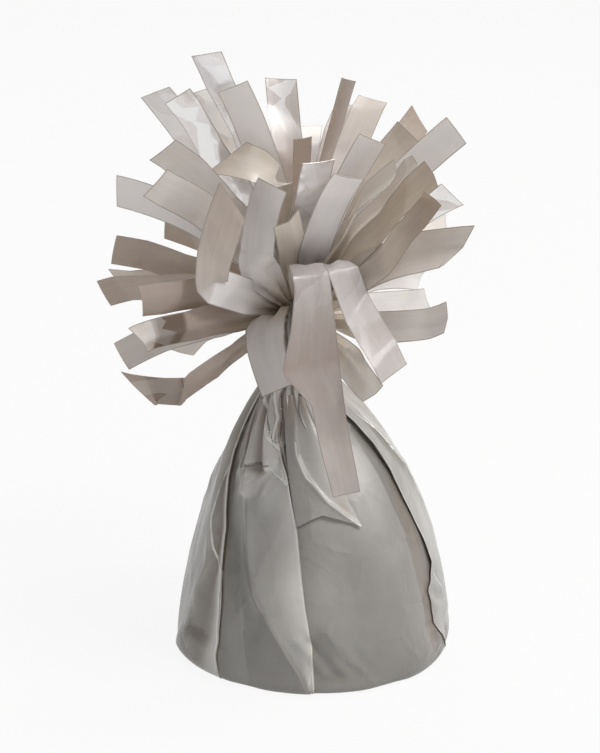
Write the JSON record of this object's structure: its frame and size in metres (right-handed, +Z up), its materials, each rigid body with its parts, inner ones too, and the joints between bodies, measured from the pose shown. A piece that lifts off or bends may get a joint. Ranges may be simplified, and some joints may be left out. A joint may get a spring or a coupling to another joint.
{
  "type": "balloon weight",
  "caption": "Balloon weight: a bell-shaped cast core wrapped in pearl film, gathered and tied at the neck, with a springy fringe of cut film strips on top.",
  "frame": {"origin": "middle of the flat foot, on the surface that the weight stands on", "axes": "+Z up, -Y towards the side that the picture shows, +X to the right in it"},
  "size_m": [0.0762, 0.0853, 0.1255],
  "materials": {
    "cast_plaster": "matte cast",
    "pearl_film": "pearl gloss",
    "fringe_film": "pearl gloss",
    "tie_coat": "satin"
  },
  "bodies": {
    "wrapped_weight": {"weight_core": "cast_plaster", "film_wrap": "pearl_film", "gathered_neck": "pearl_film", "twist_tie": "tie_coat"},
    "tuft_right": {"strip_right_high": "fringe_film", "strip_right_inner": "fringe_film", "strip_right_low": "fringe_film"},
    "tuft_right_back": {"strip_right_far": "fringe_film", "strip_right_corner": "fringe_film", "strip_right_level": "fringe_film", "strip_right_low_back": "fringe_film", "strip_back_right_high": "fringe_film"},
    "tuft_back_right": {"strip_back_right_mid": "fringe_film", "strip_back_right_top": "fringe_film", "strip_back_right_low": "fringe_film", "strip_back_right_droop": "fringe_film"},
    "tuft_back": {"strip_back_centre": "fringe_film", "strip_back_level": "fringe_film", "strip_back_droop": "fringe_film"},
    "tuft_back_left": {"strip_back_left_glossy": "fringe_film", "strip_back_left_low": "fringe_film", "strip_back_left_droop": "fringe_film", "strip_left_dark": "fringe_film"},
    "tuft_left_back": {"strip_left_high": "fringe_film", "strip_left_point": "fringe_film", "strip_left_dusky": "fringe_film", "strip_left_corner": "fringe_film"},
    "tuft_left": {"strip_left_level": "fringe_film", "strip_left_far": "fringe_film", "strip_left_low_back": "fringe_film", "strip_left_top": "fringe_film"},
    "tuft_left_front": {"strip_left_broad": "fringe_film", "strip_left_broad_low": "fringe_film", "strip_left_mid": "fringe_film", "strip_left_curled": "fringe_film", "strip_left_lowest": "fringe_film"},
    "tuft_front_left": {"strip_front_left_folded": "fringe_film", "strip_front_left_panel": "fringe_film", "strip_front_left_droop": "fringe_film"},
    "tuft_front": {"strip_front_narrow": "fringe_film", "strip_front_glint": "fringe_film", "strip_front_mauve": "fringe_film"},
    "tuft_front_hanging": {"strip_front_hanging": "fringe_film"},
    "tuft_front_right": {"strip_front_curl": "fringe_film", "strip_front_cream": "fringe_film", "strip_front_pink": "fringe_film", "strip_front_low": "fringe_film"},
    "tuft_right_front": {"strip_right_dark": "fringe_film", "strip_right_folded": "fringe_film", "strip_front_brown": "fringe_film", "strip_front_tan": "fringe_film"},
    "tuft_crown": {"strip_top_dark": "fringe_film", "strip_front_dark": "fringe_film", "strip_left_tallest": "fringe_film", "strip_back_tall": "fringe_film", "strip_crown_pale": "fringe_film", "strip_crown_tan": "fringe_film"}
  },
  "joints": [
    {"name": "right_flex", "type": "hinge", "parent": "wrapped_weight", "child": "tuft_right", "pos_m": [-0.003, 0, 0.072], "axis": [0.309, 0.9511, 0], "range_deg": [-6, 18], "stiffness_Nm_per_rad": 0.003},
    {"name": "right_back_flex", "type": "hinge", "parent": "wrapped_weight", "child": "tuft_right_back", "pos_m": [-0.003, 0, 0.072], "axis": [-0.7193, 0.6947, 0], "range_deg": [-10, 18], "stiffness_Nm_per_rad": 0.003},
    {"name": "back_right_flex", "type": "hinge", "parent": "wrapped_weight", "child": "tuft_back_right", "pos_m": [-0.003, 0, 0.072], "axis": [-0.9272, 0.3746, 0], "range_deg": [-2, 10], "stiffness_Nm_per_rad": 0.003},
    {"name": "back_flex", "type": "hinge", "parent": "wrapped_weight", "child": "tuft_back", "pos_m": [-0.003, 0, 0.072], "axis": [-0.9925, -0.1219, 0], "range_deg": [-8, 18], "stiffness_Nm_per_rad": 0.003},
    {"name": "back_left_flex", "type": "hinge", "parent": "wrapped_weight", "child": "tuft_back_left", "pos_m": [-0.003, 0, 0.072], "axis": [-0.7986, -0.6018, 0], "range_deg": [-2, 10], "stiffness_Nm_per_rad": 0.003},
    {"name": "left_back_flex", "type": "hinge", "parent": "wrapped_weight", "child": "tuft_left_back", "pos_m": [-0.003, 0, 0.072], "axis": [-0.5299, -0.848, 0], "range_deg": [-2, 18], "stiffness_Nm_per_rad": 0.003},
    {"name": "left_flex", "type": "hinge", "parent": "wrapped_weight", "child": "tuft_left", "pos_m": [-0.003, 0, 0.072], "axis": [-0.2079, -0.9781, 0], "range_deg": [-2, 18], "stiffness_Nm_per_rad": 0.003},
    {"name": "left_front_flex", "type": "hinge", "parent": "wrapped_weight", "child": "tuft_left_front", "pos_m": [-0.003, 0, 0.072], "axis": [0.6947, -0.7193, 0], "range_deg": [-3, 18], "stiffness_Nm_per_rad": 0.003},
    {"name": "front_left_flex", "type": "hinge", "parent": "wrapped_weight", "child": "tuft_front_left", "pos_m": [-0.003, 0, 0.072], "axis": [0.9135, -0.4067, 0], "range_deg": [-4, 18], "stiffness_Nm_per_rad": 0.003},
    {"name": "front_flex", "type": "hinge", "parent": "wrapped_weight", "child": "tuft_front", "pos_m": [-0.003, 0, 0.072], "axis": [0.9962, 0.0872, 0], "range_deg": [-2, 7], "stiffness_Nm_per_rad": 0.003},
    {"name": "front_hanging_flex", "type": "hinge", "parent": "wrapped_weight", "child": "tuft_front_hanging", "pos_m": [-0.003, 0, 0.072], "axis": [0.9962, 0.0872, 0], "range_deg": [-9, 4], "stiffness_Nm_per_rad": 0.0005},
    {"name": "front_right_flex", "type": "hinge", "parent": "wrapped_weight", "child": "tuft_front_right", "pos_m": [-0.003, 0, 0.072], "axis": [0.8192, 0.5736, 0], "range_deg": [-1, 6], "stiffness_Nm_per_rad": 0.003},
    {"name": "right_front_flex", "type": "hinge", "parent": "wrapped_weight", "child": "tuft_right_front", "pos_m": [-0.003, 0, 0.072], "axis": [0.5878, 0.809, 0], "range_deg": [-4, 10], "stiffness_Nm_per_rad": 0.003},
    {"name": "crown_flex", "type": "hinge", "parent": "wrapped_weight", "child": "tuft_crown", "pos_m": [-0.003, 0, 0.072], "axis": [1, 0, 0], "range_deg": [-3, 1.5], "stiffness_Nm_per_rad": 0.003}
  ]
}
